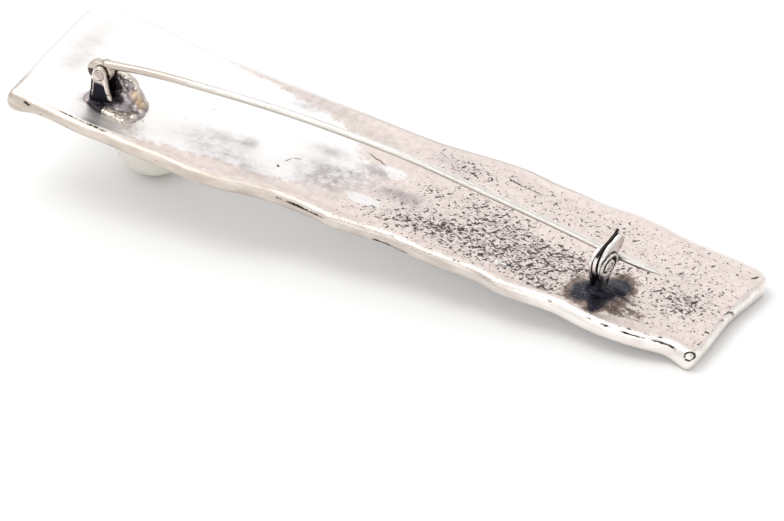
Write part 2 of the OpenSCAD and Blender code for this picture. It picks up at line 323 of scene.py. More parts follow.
def fit(piece, material, *nodes, body="brooch", slot="hammered_silver", **masks):
    """Puts a finished piece on its body, with its finish, its masks and the nodes it stands for."""
    add_masks(piece, **masks)
    piece.data.materials.clear()
    piece.data.materials.append(material)
    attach(piece, body)
    if nodes:
        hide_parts(*nodes)


def ring_faces(rings, count, capped=True):
    """Quads between closed rings of points, given as rows of one list, and the two end faces."""
    faces = []
    for j in range(rings - 1):
        for i in range(count):
            a = j * count + i
            b = j * count + (i + 1) % count
            faces.append((a, b, b + count, a + count))
    if capped:
        faces.append(list(range(count))[::-1])
        faces.append([(rings - 1) * count + i for i in range(count)])
    return faces


def colour(value):
    """A colour with its alpha, or the socket that gives it."""
    return value if isinstance(value, bpy.types.NodeSocket) else (*value, 1)


# Materials are built from nodes, with places taken from the lay attribute in millimetres
class Nodes:
    """A short way to write the nodes of a material or a world."""

    def __init__(self, owner, shader="Principled BSDF"):
        self.owner = owner
        owner.use_nodes = True
        self.tree = owner.node_tree
        self.shader = self.tree.nodes[shader]

    def add(self, kind, inputs=(), **settings):
        node = self.tree.nodes.new(kind)
        for key, value in settings.items():
            setattr(node, key, value)
        for key, value in dict(inputs).items():
            self.set(node.inputs[key], value)
        return node

    def set(self, socket, value):
        if isinstance(value, bpy.types.NodeSocket):
            self.tree.links.new(value, socket)
        else:
            socket.default_value = value

    def math(self, operation, *inputs, clamp=False):
        node = self.add("ShaderNodeMath", enumerate(inputs), operation=operation, use_clamp=clamp)
        return node.outputs[0]

    def plus(self, a, b):
        return self.math("ADD", a, b)

    def minus(self, a, b):
        return self.math("SUBTRACT", a, b)

    def times(self, a, b, clamp=False):
        return self.math("MULTIPLY", a, b, clamp=clamp)

    def vector(self, operation, *inputs, output=0, **named):
        inputs = {**dict(enumerate(inputs)), **named}
        return self.add("ShaderNodeVectorMath", inputs, operation=operation).outputs[output]

    def wobbled(self, place, wobble):
        """A place shifted a little by a coloured noise."""
        shift = self.vector("SUBTRACT", wobble, (0.5, 0.5, 0.5))
        shift = self.vector("SCALE", shift, Scale=WOBBLE)
        return self.vector("ADD", place, shift)

    def attribute(self, name):
        node = self.add("ShaderNodeAttribute", attribute_name=name)
        return node.outputs["Vector"] if name == "lay" else node.outputs["Fac"]

    def mapped(self, vector, scale=(1, 1, 1), turn=0, at=(0, 0, 0)):
        """Moves a place to the origin, turns it about the normal and scales it."""
        moved = self.vector("SUBTRACT", vector, at)
        node = self.add("ShaderNodeMapping", {
            "Vector": moved, "Rotation": (0, 0, -turn), "Scale": (1, 1, 1)})
        return self.vector("MULTIPLY", node.outputs[0], scale)

    def noise(self, vector, scale, detail=2, rough=0.5, output="Fac"):
        node = self.add("ShaderNodeTexNoise", {
            "Vector": vector, "Scale": scale, "Detail": detail, "Roughness": rough})
        return node.outputs[output]

    def dashes(self, lay, squeeze, turn, scale, detail, rough=0.5):
        """Noise drawn out along a slanting line."""
        return self.noise(self.mapped(lay, (1, squeeze, 1), math.radians(turn)), scale, detail, rough)

    def step(self, value, low, high):
        node = self.add("ShaderNodeMapRange", {
            "Value": value, "From Min": low, "From Max": high},
            interpolation_type="SMOOTHSTEP")
        return node.outputs["Result"]

    def uneven(self, value, unrest, amount, low, high):
        """A step of a socket or a named mask, with a border that wanders with the unrest."""
        if isinstance(value, str):
            value = self.attribute(value)
        return self.step(self.plus(value, self.times(unrest, amount)), low, high)

    def mix(self, fac, a, b):
        node = self.add("ShaderNodeMix", {0: fac, 6: colour(a), 7: colour(b)}, data_type="RGBA")
        return node.outputs[2]

    def blend(self, fac, a, b):
        return self.add("ShaderNodeMix", {0: fac, 2: a, 3: b}, data_type="FLOAT").outputs[0]

    def bump(self, height, distance_mm, before=None):
        node = self.add("ShaderNodeBump", {
            "Height": height, "Distance": distance_mm * MM, "Strength": 1})
        if before is not None:
            self.set(node.inputs["Normal"], before)
        return node.outputs["Normal"]

    def finish(self, base, rough, normal=None, **sockets):
        self.set(self.shader.inputs["Base Color"], base)
        self.set(self.shader.inputs["Roughness"], rough)
        if normal is not None:
            self.set(self.shader.inputs["Normal"], normal)
        for key, value in sockets.items():
            self.shader.inputs[key].default_value = value
        return self.owner


def surface(name):
    """The nodes of a new material."""
    return Nodes(bpy.data.materials.new(name))


# How far a scratch wanders sideways
WOBBLE = 0.35
# Tones of the silver and of what lies on it, with the dark of marks and painted shade, and a painted
# glint
POLISHED = (0.925, 0.915, 0.905)
LILAC = (0.44, 0.395, 0.395)
PIT = (0.085, 0.065, 0.062)
CROWDED = (0.21, 0.175, 0.18)
BROWN = (0.16, 0.105, 0.08)
MARK_AND_SHADE = (0.05, 0.04, 0.035)
PAINTED_GLINT = (0.55, 0.53, 0.56)

# Scratches on the back: start and end as along and across, half width, strength
SCRATCHES = (
    ((9.6, 6.9), (11.6, 6.35), 0.12, 0.85), ((11.3, 6.45), (13.9, 6.5), 0.1, 0.75),
    ((-9.8, -3.7), (-9.3, -2.75), 0.08, 0.85), ((-9.4, -2.8), (-8.3, -2.35), 0.08, 0.8),
    ((-10.05, -4.75), (-9.85, -4.4), 0.2, 0.95),
    ((22.1, -4.6), (22.3, -1.1), 0.1, 0.75), ((36.6, 6), (37.1, 6.9), 0.2, 0.95),
    ((36.9, -0.9), (37.5, 0.9), 0.1, 0.85), ((37.2, -1.9), (37.3, -1.2), 0.09, 0.6),
    ((-3.6, 2.6), (-1.05, 1.6), 0.14, 0.7), ((26, 0.1), (26.3, 0.9), 0.12, 0.8),
    ((28.2, -7), (31.4, -6.6), 0.1, 0.5),
    ((-19.6, -0.2), (-19.4, 0.1), 0.1, 0.35), ((2, 6.9), (3.4, 6.3), 0.1, 0.5))


def bar_silver():
    """Silver that is bright at the pearl end and matt and pitted at the catch end."""
    n = surface("hammered_silver_back")
    lay = n.attribute("lay")
    broad = n.noise(lay, 0.35)
    mid = n.noise(lay, 1.3, 3, 0.6)
    fine = n.noise(lay, 5, 4, 0.65)
    grain = n.noise(lay, 14, 3, 0.6)
    unrest = n.plus(n.times(n.minus(mid, 0.5), 1.1), n.times(n.minus(fine, 0.5), 0.5))
    matte = n.uneven("matte", unrest, 0.7, 0.35, 0.65)
    patchy = n.uneven(broad, unrest, 0.8, 0.25, 0.75)
    smudge = n.times(n.attribute("smudge"), n.plus(0.55, n.times(patchy, 1.3)))
    smudge = n.math("MINIMUM", smudge, 1)
    white = n.uneven("white", unrest, 1, 0.45, 0.6)

    # Small pits, as short slanting dashes that run together where they are dense
    density = n.attribute("pits")
    first = n.dashes(lay, 2, 62, 1.1, 2.8)
    second = n.dashes(lay, 1.7, -24, 1.42, 2.4)
    specks = n.dashes(lay, 1.5, 40, 2.9, 2)
    level = n.minus(0.718, n.times(density, 0.142))
    pits = 0
    for dash, ease in ((first, 0), (second, 0), (specks, 0.005)):
        pits = n.math("MAXIMUM", pits, n.step(n.minus(dash, n.minus(level, ease)), 0, 0.03))
    pits = n.times(pits, n.minus(1, n.times(white, 0.55)))
    pits = n.times(pits, n.plus(0.15, n.step(density, 0.02, 0.2)), clamp=True)
    crowd = n.uneven(n.dashes(lay, 1.4, 50, 0.95, 5, 0.66), density, 0.2, 0.71, 0.75)

    tint = n.times(n.minus(mid, 0.5), 0.9)
    matte_base = n.mix(n.step(tint, -0.2, 0.25), (0.86, 0.765, 0.72), (0.73, 0.63, 0.59))
    base = n.mix(matte, n.mix(broad, POLISHED, (0.93, 0.915, 0.9)), matte_base)
    wash = n.times(n.step(density, 0.35, 1.1), n.step(n.plus(first, second), 0.85, 1.2))
    # Painted highlight: bright specks over the matt part stand in for tiny glints
    painted_sparkle = n.times(n.step(grain, 0.6, 0.7), matte)
    for mask, strength, tone in (
            (white, 0.9, POLISHED), (wash, 0.2, LILAC), (smudge, 0.85, LILAC),
            (crowd, 0.42, CROWDED), (pits, 0.94, PIT), (painted_sparkle, 0.75, POLISHED)):
        base = n.mix(n.times(mask, strength), base, tone)

    # The rounded rim, rubbed bright at the catch end
    rim = n.uneven("rim", unrest, 0.25, 0.35, 0.65)
    grime = n.step(n.noise(n.mapped(lay, (0.25, 1, 1)), 1.2, 3), 0.35, 0.7)
    place = n.add("ShaderNodeSeparateXYZ", {0: lay}).outputs
    along = place["X"]
    rim_left = n.mix(grime, (0.72, 0.64, 0.57), (0.56, 0.48, 0.42))
    rim_left = n.mix(n.step(place["Y"], -7.5, -4), rim_left, (0.9, 0.88, 0.86))
    rim_middle = n.mix(grime, (0.71, 0.65, 0.6), (0.58, 0.51, 0.46))
    rim_right = n.mix(grime, (0.94, 0.9, 0.86), (0.84, 0.78, 0.73))
    rim_tint = n.mix(n.step(along, 14, 24), rim_middle, rim_right)
    base = n.mix(rim, base, n.mix(n.step(along, -22, 2), rim_left, rim_tint))

    # Single scratches and marks, on the back only
    wobble = n.noise(lay, 1.6, output="Color")
    upper = n.step(place["Z"], -1, -0.7)
    for start, end, width, depth in SCRATCHES:
        run = Vector(end) - Vector(start)
        middle = (Vector(end) + Vector(start)) / 2
        line = n.mapped(n.wobbled(lay, wobble), (2 / run.length, 1 / width, 0.3),
                        math.atan2(run.y, run.x), (*middle, 0))
        gap = n.vector("LENGTH", line, output="Value")
        stroke = n.times(n.step(gap, 1.15, 0.6), n.times(upper, depth))
        base = n.mix(stroke, base, PIT)

    # Dark marks along the rim, painted shade in the crease between rim and plate, a painted ring of
    # shade for a dimple, and scorched solder with painted glints
    base = n.mix(n.uneven("mark", unrest, 1.6, 0.4, 0.75), base, MARK_AND_SHADE)
    fringe = n.uneven("soot", unrest, 0.75, 0.22, 0.5)
    core = n.uneven("soot", unrest, 0.3, 0.45, 0.72)
    base = n.mix(n.times(fringe, 0.85), base, BROWN)
    base = n.mix(core, base, n.mix(fine, (0.016, 0.015, 0.02), (0.06, 0.06, 0.085)))
    # Painted highlight: light specks in the scorched fringe stand in for glints
    painted_glint = n.times(n.step(fine, 0.6, 0.66), n.times(fringe, 0.45))
    base = n.mix(painted_glint, base, PAINTED_GLINT)

    rough = n.blend(matte, 0.4, 0.46)
    rough = n.blend(rim, rough, n.blend(n.step(along, -20, 10), 0.4, 0.2))
    rough = n.blend(core, n.blend(pits, rough, 0.7), 0.34)
    height = n.times(n.minus(fine, 0.5), n.blend(matte, 0.1, 1))
    normal = n.bump(n.plus(height, n.times(pits, -0.8)), 0.035)
    normal = n.bump(n.times(grain, matte), 0.012, normal)
    return n.finish(base, rough, normal, Metallic=1)


def cast_silver(name, dark=(0.045, 0.035, 0.035), clean=(0.9, 0.875, 0.85), rough=0.2,
                face=(0.62, 0.53, 0.49)):
    """Cast or cut silver in random tones, dark where its mask says so: oxide, and painted shade in
    creases, slots and gaps.
    """
    n = surface(name)
    lay = n.attribute("lay")
    mid = n.noise(lay, 2.2, 3, 0.6)
    fine = n.noise(lay, 7, 3, 0.6)
    unrest = n.plus(n.minus(mid, 0.5), n.times(n.minus(fine, 0.5), 0.6))
    soot = n.uneven("soot", unrest, 0.8, 0.25, 0.75)
    base = n.mix(n.step(mid, 0.3, 0.75), clean, tuple(0.86 * c for c in clean))
    base = n.mix(n.times(n.step(fine, 0.52, 0.75), 0.25), base, (0.42, 0.37, 0.35))
    face = n.mix(mid, face, tuple(0.75 * c for c in face))
    for mask, tone in (("tint", face), ("gold", (0.7, 0.49, 0.3))):
        base = n.mix(n.math("MINIMUM", n.attribute(mask), 1), base, tone)
    base = n.mix(soot, base, n.mix(fine, dark, tuple(0.35 * c for c in dark)))
    roughness = n.blend(n.math("MAXIMUM", soot, n.times(fine, 0.3)), rough, 0.42)
    normal = n.bump(n.plus(mid, n.times(fine, 0.4)), 0.03)
    return n.finish(base, roughness, normal, Metallic=1)


def wire_silver():
    """Drawn wire with faint scratches along it, duller near the hinge, and darker underneath as
    painted shade.
    """
    n = surface("drawn_wire_silver")
    lay = n.attribute("lay")
    streak = n.noise(n.mapped(lay, (0.35, 6, 6)), 1.6, 3, 0.6)
    along = n.add("ShaderNodeSeparateXYZ", {0: lay}).outputs["X"]
    dull = n.uneven(along, n.noise(lay, 0.5), 6, -13, -20)
    base = n.mix(n.step(streak, 0.35, 0.7), (0.84, 0.82, 0.775), (0.68, 0.65, 0.6))
    # Painted shade: the underside of the wire is darkened
    base = n.mix(n.times(n.attribute("under"), 0.9), base, (0.4, 0.375, 0.33))
    base = n.mix(n.times(dull, 0.95), base, (0.61, 0.53, 0.46))
    base = n.mix(n.step(n.attribute("soot"), 0.3, 0.8), base, (0.08, 0.06, 0.055))
    rough = n.blend(dull, n.blend(streak, 0.14, 0.28), 0.36)
    return n.finish(base, rough, n.bump(streak, 0.008), Metallic=1)


def pearl_lustre():
    """Cream pearl with a faint green and rose cast and a soft lustre."""
    n = surface("pearl_lustre")
    lay = n.attribute("lay")
    fine = n.noise(lay, 3, 3)
    base = n.mix(n.step(n.noise(lay, 0.28), 0.35, 0.7), (0.76, 0.75, 0.66), (0.79, 0.73, 0.69))
    base = n.mix(n.times(n.step(fine, 0.5, 0.8), 0.3), base, (0.74, 0.74, 0.67))
    return n.finish(base, n.blend(fine, 0.16, 0.27), n.bump(fine, 0.006), **{
        "Specular IOR Level": 0.6, "Coat Weight": 0.5, "Coat Roughness": 0.12,
        "Subsurface Weight": 0.12, "Subsurface Scale": 0.001, "Sheen Weight": 0.15})


def near_line(l, w, n, start, end, reach, depth, strength):
    """A mask along a line between two places, fading out sideways and at its ends."""
    a = np.array(start)
    along = np.array(end) - a
    p = np.stack([l, w, n], -1) - a
    t = np.clip(p @ along / (along @ along), 0, 1)
    d = np.linalg.norm((p - t[..., None] * along) / np.array((reach, reach, depth)), axis=-1)
    taper = np.clip(4 * t * (1 - t) + 0.25, 0, 1)
    return strength * np.clip(1.4 * taper - d, 0, 1)


# Dark lines in the near rim: start and end as (along, inset from the edge, height),
# then reach sideways, reach in height, strength
# Rows along the plate's edge, at inset about 0.5 to 0.66 and height 0, are painted shade in the crease
# between rim and plate
RIM_MARKS_AND_SHADE = (
    ((-36, 0.3, -0.35), (-34.6, 0.15, -0.5), 0.24, 0.16, 0.9),
    ((-34, 0.1, -0.95), (-33.2, 0.1, -0.95), 0.22, 0.12, 0.7),
    ((-33.6, 0.66, 0), (-24.6, 0.66, 0), 0.13, 0.12, 0.75),
    ((-27.3, 0.55, -0.03), (-26.2, 0.58, -0.03), 0.18, 0.12, 0.9),
    ((-36, 0.1, -0.8), (-28, 0.08, -1.05), 0.1, 0.1, 0.45),
    ((-22.3, 0.15, -0.55), (-19.8, 0.12, -0.6), 0.12, 0.1, 0.65),
    ((-14.8, 0.2, -1.12), (-11.5, 0.2, -1.18), 0.12, 0.12, 0.65),
    ((-8.9, 0.08, -0.4), (-1.2, 0.06, -0.55), 0.12, 0.11, 0.9),
    ((1.6, 0.05, -0.95), (7.2, 0.05, -1.1), 0.2, 0.1, 0.8),
    ((11, 0.55, -0.01), (12.2, 0.45, -0.04), 0.13, 0.12, 0.8),
    ((21.5, 0.16, -0.2), (22.4, 0.14, -0.22), 0.16, 0.12, 0.8),
    ((25.4, 0.3, -0.1), (30.4, 0.22, -0.16), 0.11, 0.09, 0.75),
    ((29.4, 0.22, -0.18), (33, 0.17, -0.22), 0.14, 0.11, 0.9),
    ((32.6, 0.19, -0.2), (36.2, 0.12, -0.28), 0.16, 0.12, 0.95),
    ((27.5, 0.62, 0), (35.6, 0.62, 0), 0.1, 0.1, 0.6))
# Middle of the painted dark ring at the near corner of the catch end, shade round a small dimple that
# is not modelled: along, inset, height
EYE_AT = (37.05, 0.28, -0.4)
EYE_R = 0.44
# Lilac-grey smudges: along, across, reach along, reach across, strength, as in all tables below
SMUDGES = (
    (-16.6, -5.6, 4.6, 1.9, 0.4), (-17.4, -3.6, 2.4, 1.2, 0.34), (-14.2, -2.9, 1.1, 0.8, 0.62),
    (-13, -6.6, 3, 1.2, 0.34), (-5.4, -3.4, 3, 2.2, 0.85), (-6.8, 0.6, 2.4, 0.9, 0.42),
    (-1.5, 0.3, 1.5, 0.8, 0.9), (2.3, -2, 2.6, 0.9, 0.9), (-34.7, 1.3, 1.3, 4.4, 0.3),
    (-30.9, -5.6, 0.5, 0.9, 0.8), (-3.4, -1.3, 1.6, 0.7, 0.55), (-25.4, -7.4, 2, 1, 0.42),
    (4, 6, 3, 1.2, 0.3), (-29, -7.1, 1.4, 0.45, 0.3), (-10.5, 7.2, 5, 1.1, 0.28),
    (-12.2, 5.6, 1.4, 0.5, 0.34), (-3.6, 5.6, 2, 0.6, 0.3))
# Where the matt surface runs out along the two long edges
BANDS = (
    (-13.5, -8.4, 8, 1.3, 0.8), (-3, -7.9, 6, 1.3, 0.6), (-12, 7.6, 8, 1.6, 0.5),
    (-4, 6.6, 6, 1.8, 0.5), (-21.5, -9.3, 4, 1, 0.55), (-25.2, -7.8, 1.8, 0.8, 0.45),
    (-18, 8.4, 5, 0.9, 0.6), (-2.9, 2.3, 2.3, 1.1, 0.55))
# White islands with few pits
ISLANDS = (
    (-0.2, 1.1, 1.9, 0.8, 1), (-0.4, -4.7, 2.5, 1, 1), (-2.4, -1.9, 1.8, 0.7, 0.8),
    (15.4, -6.2, 1.6, 0.6, 0.7))
# Where the pits crowd together
PIT_FIELDS = (
    (9.5, -4.4, 4.6, 2.8, 0.66), (17, -5, 4.6, 2.4, 0.76), (19.5, -2.2, 3.8, 2.2, 0.74),
    (12.4, -0.6, 4.4, 2, 0.58), (4, -5.2, 3.4, 2, 0.46), (6, 5.9, 2.2, 1.3, 0.55),
    (10, 1.8, 3.2, 1.2, 0.4), (25, -0.6, 3.2, 2.2, 0.42), (21.5, -7, 3.6, 1.2, 0.46),
    (29.4, -2.6, 3.2, 2.2, 0.3), (33.2, -1.2, 3, 3, 0.4), (-0.5, -6.2, 2.8, 1.2, 0.42),
    (22.5, 5.5, 4, 1.6, 0.24), (31, 4, 4.4, 3, 0.22), (14, 6.4, 6, 1.4, 0.26),
    (33.6, -1.6, 2, 1.7, 0.36), (33, -5.2, 2.6, 1.6, 0.14), (28, -6.3, 1.9, 0.9, 0.55),
    (5, 0.4, 3, 1, 0.35), (16, 3.6, 5, 1.4, 0.22))
# Scorched places round the two fittings
SOOT_POOLS = (
    (25.3, -4.8, 3.2, 3.3, 0.46), (25.6, -4.4, 1.5, 1.7, 0.66), (27, -2.6, 1.6, 1.6, 0.58),
    (23.6, -5.4, 1.6, 1.7, 0.42), (24, -7, 1.6, 0.8, 0.26), (26.1, -7.5, 0.6, 0.8, 0.7),
    (26, -6.2, 0.8, 0.8, 0.3), (26.4, -0.7, 1.2, 0.9, 0.28), (29.4, -5.5, 2.4, 0.3, 0.42),
    (28.4, -4.5, 1.8, 0.3, 0.34), (28, -6.8, 1.4, 0.6, 0.4), (30, -6.1, 1.6, 0.35, 0.36),
    (-29.2, -6, 1.2, 0.7, 0.5), (-27.9, -5.7, 1.2, 0.9, 0.45))
# Points across a face of the bar, round an edge and along its middle, and length of its finer ends
FACE_POINTS = 84
RIM_POINTS = 17
BODY_STEPS = 330
END_ZONE = 1.8


def fields(l, w, rows):
    """Sum of soft spots, each given as a row of one of the tables above."""
    total = 0
    for at_l, at_w, reach_l, reach_w, strength in rows:
        total = total + strength * np.exp(-((l - at_l) / reach_l) ** 2 - ((w - at_w) / reach_w) ** 2)
    return total


def build_plate():
    """The silver bar itself, finely divided, with its solder mound and masks for its finish."""
    round_d = RIM * (1 - np.cos(np.radians(np.linspace(0, 90, 13))))
    d = np.concatenate([round_d, np.linspace(RIM, END_ZONE, 8)[1:]])
    body = np.linspace(-HALF_LEN + END_ZONE, HALF_LEN - END_ZONE, BODY_STEPS)[1:-1]
    places = np.concatenate([d - HALF_LEN, body, (HALF_LEN - d)[::-1]])
    l = places[:, None]
    near = edge_at(l, NEAR)
    far = edge_at(l, FAR)
    end_gap = np.minimum(RIM, HALF_LEN - np.abs(l))
    swell = np.sqrt(np.maximum(0, 1 - (1 - end_gap / RIM) ** 2))

    # The back, which looks up
    w_back = RIM - near + (near + far - 2 * RIM) * np.linspace(0, 1, FACE_POINTS)[None, :]
    half = (thick_at(l) + bead_at(l, w_back)) / 2
    near_side = w_back - (RIM - near)
    fade = ramp(0, 0.9, np.minimum(near_side, (far - RIM) - w_back))
    relief = dented(l, w_back, *CATCH_END_DENTS)
    relief += dented(l, w_back, *PEARL_END_DENTS)
    groove = 0.05 * bell(near_side, 1.1, 0.35) * ramp(-27, -14, l)
    lip = 0.07 * bell(near_side, 0.25, 0.4) - groove
    n_back = half * (swell - 1) + (back_wave(l, w_back) + relief) * swell * fade + lip * swell
    mound = mound_height(l, w_back)
    n_back = np.where(mound > 0, np.maximum(n_back, mound), n_back)

    # The front, and the two rounded edges
    w_front = w_back[:, ::-1]
    dents = dented(l, w_front, *FRONT_DENTS)
    n_front = -half[:, ::-1] * (swell + 1) + (front_wave(l, w_front) + dents) * swell * fade[:, ::-1]
    turn = np.linspace(0, math.pi, RIM_POINTS + 2)[None, 1:-1]
    lumps = 0.05 * sind(61 * l) * sind(37 * l + 20) + 0.03 * sind(143 * l)
    bulge = 1 + lumps * np.sin(turn) * 0.8
    w_far = far - RIM + RIM * np.sin(turn) * bulge
    n_far = (thick_at(l) + bead_at(l, far)) / 2 * (swell * np.cos(turn) - 1)
    w_near = RIM - near - RIM * np.sin(turn) * bulge
    n_near = (thick_at(l) + bead_at(l, -near)) / 2 * (-swell * np.cos(turn) - 1)

    w = np.concatenate([w_back, w_far, w_front, w_near], 1)
    n = np.concatenate([n_back, n_far, n_front, n_near], 1)
    points = np.stack([l + end_shape(l, w), w, n], -1)
    count = w.shape[1]
    sunk = np.minimum(lie(points.reshape(-1, 3))[:, 2], 0).reshape(w.shape)
    points[..., 2] -= sunk / MM
    piece = new_object("bar_plate", points.reshape(-1, 3), ring_faces(len(places), count, False))

    x, y, z = np.moveaxis(points, -1, 0)
    edge = np.abs(y) / (BAR_W / 2)
    start = np.where(y > 0, 0.5 - 13.5 * edge ** 1.5, -2.5 - 9.5 * edge ** 2)
    matte = ramp(-9, 9, x - start) + 0.25 * (x > 6) + fields(x, y, BANDS)
    side = ramp(-0.15, -0.6, z)
    under = ramp(-0.7, -1, z)
    pits = 0.3 * ramp(-4, 5, x) + fields(x, y, PIT_FIELDS)
    pits *= 1 - 0.75 * ramp(7, 8.8, np.abs(y))
    inset = y + near
    reach = np.minimum(np.minimum(inset, far - y), HALF_LEN - np.abs(l) + 0.35 * (l > 0))
    # Painted shade: a dark ring stands in for the edge of a small dimple at the corner
    eye = np.sqrt((x - EYE_AT[0]) ** 2 + (inset - EYE_AT[1]) ** 2 + (z - EYE_AT[2]) ** 2)
    mark = 0.95 * bell(eye, EYE_R, 0.11)
    for row in RIM_MARKS_AND_SHADE:
        mark = np.maximum(mark, near_line(x, inset, z, *row))
    add_masks(
        piece, mark=mark, rim=1 - ramp(0.45, 0.95, reach),
        matte=np.maximum(matte, side * 0.75) * (1 - under) + 0.15 * under,
        pits=np.clip(pits, 0, 1) * (1 - 0.5 * side) * (1 - under),
        soot=fields(x, y, SOOT_POOLS) * (1 - side),
        smudge=fields(x, y, SMUDGES) * (1 - side),
        white=fields(x, y, ISLANDS) * (1 - side))

    # The two ends close on themselves
    outward(piece, [k * count + i for k in (0, len(places) - 1) for i in range(count)])
    return piece


def loop_through(outline, steps):
    """Smooth closed loop through a few points."""
    p = np.asarray(outline, float)
    rows = []
    for i in range(len(p)):
        around = p[i - 1], p[i], p[(i + 1) % len(p)], p[(i + 2) % len(p)]
        rows += [cubic(*around, k / steps) for k in range(steps)]
    return np.array(rows)


def unit(rows):
    """Rows scaled to length one."""
    return rows / np.maximum(np.linalg.norm(rows, axis=1), 1e-9)[:, None]


def inset_loop(loop, distance):
    """The loop moved inwards by a small distance."""
    area = 0.5 * np.sum(loop[:, 0] * np.roll(loop[:, 1], -1) - loop[:, 1] * np.roll(loop[:, 0], -1))
    way = unit(unit(np.roll(loop, -1, 0) - loop) + unit(loop - np.roll(loop, 1, 0)))
    inward = np.stack([-way[:, 1], way[:, 0]], -1) * (1 if area > 0 else -1)
    return loop + inward * distance


BEVEL_STEPS = 5


def sheet_solid(loop, low, high, bevel, place):
    """A plate with rounded edges; place turns (first, second, height) into the bar's frame."""
    rings = []
    for k in range(BEVEL_STEPS + 1):
        a = math.pi / 2 * k / BEVEL_STEPS
        rings.append((bevel * (1 - math.sin(a)), low + bevel * (1 - math.cos(a))))
    rings += [(inset, low + high - z) for inset, z in rings[::-1]]
    rings = [(bevel + 0.03, low)] + rings + [(bevel + 0.03, high)]
    points = []
    for inset, z in rings:
        edge = inset_loop(loop, inset)
        points.append(np.column_stack([edge, np.full(len(edge), z)]))
    return place(np.concatenate(points)), ring_faces(len(rings), len(loop))


def joined(parts):
    """Points and faces of several solids in one list."""
    faces = []
    start = 0
    for part_points, part_faces in parts:
        faces += [[start + i for i in f] for f in part_faces]
        start += len(part_points)
    return np.concatenate([points for points, _ in parts]), faces


def circle(sides):
    """Cosines and sines round a full turn, as two columns."""
    a = np.arange(sides) * 2 * math.pi / sides
    return np.cos(a)[:, None], np.sin(a)[:, None]


def lathe(profile, place, sides=64):
    """A turned solid: profile rows are (radius, height); place maps (x, y, height)."""
    c, s = circle(sides)
    rows = [np.hstack([r * c, r * s, np.full((sides, 1), z)]) for r, z in profile]
    return place(np.concatenate(rows)), ring_faces(len(profile), sides)


def ball(centre, radii, rings=14, sides=24):
    """An egg-shaped lump."""
    slopes = [math.pi * k / rings for k in range(1, rings)]
    profile = [(math.sin(a), math.cos(a)) for a in slopes]
    return lathe(profile, lambda p: p * radii + centre, sides)


def along_place(p):
    """(along, up, across) to the bar's frame."""
    return p[:, [0, 2, 1]]


def catch_place(p):
    """(across, up, thickness) in the catch to the bar's frame."""
    return in_catch(p[:, [2, 0, 1]])


def boss_place(p):
    """As catch_place, but from the middle of the latch rivet."""
    return catch_place(p + (*LATCH_PIVOT, 0))


def hinge_place(p):
    """As along_place, but from the middle of the hinge rivet."""
    return along_place(p + (HINGE_L, HINGE_H, HINGE_W))


def fused(name, parts, voxel, smooth, lumps, seed):
    """Several solids melted into one lumpy solid, as solder and cast silver are."""
    points, faces = joined(parts)
    rough = raw_object(name, points.tolist(), faces)
    outward(rough)
    melt = rough.modifiers.new("melt", "REMESH")
    melt.mode = "VOXEL"
    melt.voxel_size = voxel
    soften = rough.modifiers.new("soften", "SMOOTH")
    soften.iterations = smooth
    soften.factor = 0.5
    graph = bpy.context.evaluated_depsgraph_get()
    made = bpy.data.meshes.new_from_object(rough.evaluated_get(graph))
    co = np.array([v.co for v in made.vertices])
    normals = np.array([v.normal for v in made.vertices])
    depth, scale = lumps
    offset = np.array([
        noise.noise(Vector(c) * scale + Vector((seed, 0, 0)))
        + 0.5 * noise.noise(Vector(c) * scale * 2.3 + Vector((0, seed, 0))) for c in co])
    co += normals * (depth * offset)[:, None]
    faces = [list(p.vertices) for p in made.polygons]
    bpy.data.objects.remove(rough)
    bpy.data.meshes.remove(made)
    return new_object(name, co, faces), co


INNER = HEAD_T / 2 + HEAD_GAP


def tube(path, r, sides=12):
    """A round cord along a line of places, rounded off at its ends."""
    path = np.asarray(path, float)
    along = unit(np.gradient(path, axis=0))
    side = unit(np.cross(along, (0, 1, 0)))
    up = np.cross(side, along)
    c, s = circle(sides)
    rows = [path[0] + 0.3 * r * (c * up[0] + s * side[0]) - 0.6 * r * along[0]]
    rows += [p + r * (c * u + s * v) for p, u, v in zip(path, up, side)]
    rows.append(path[-1] + 0.3 * (rows[-1] - path[-1]) + 0.6 * r * along[-1])
    return np.concatenate(rows), ring_faces(len(rows), sides)


def inside_by(loop, points):
    """How far inside a closed loop each point lies, negative outside."""
    best = np.full(len(points), 1e9)
    crossed = np.zeros(len(points), bool)
    for p, q in zip(loop, np.roll(loop, -1, 0)):
        d = q - p
        t = np.clip(((points - p) @ d) / max(d @ d, 1e-12), 0, 1)
        best = np.minimum(best, np.linalg.norm(points - p - t[:, None] * d, axis=1))
        if p[1] != q[1]:
            spans = (points[:, 1] > p[1]) != (points[:, 1] > q[1])
            border = p[0] + (points[:, 1] - p[1]) * (q[0] - p[0]) / (q[1] - p[1])
            crossed ^= spans & (points[:, 0] < border)
    return np.where(crossed, best, -best)


# Low solder run out on the bar round the hinge: where, then its reach
SOLDER_FLOW = (
    ((-28.3, -4.8), (2.75, 2.3, 0.48)), ((-26.9, -3.9), (1.75, 1.75, 1.25)),
    ((-27.3, -6.3), (1.7, 0.9, 0.34)), ((-26, -6.5), (1.3, 0.9, 0.28)),
    ((-25.4, -5.4), (1, 1.2, 0.32)), ((-30.3, -5.3), (0.8, 1, 0.3)))
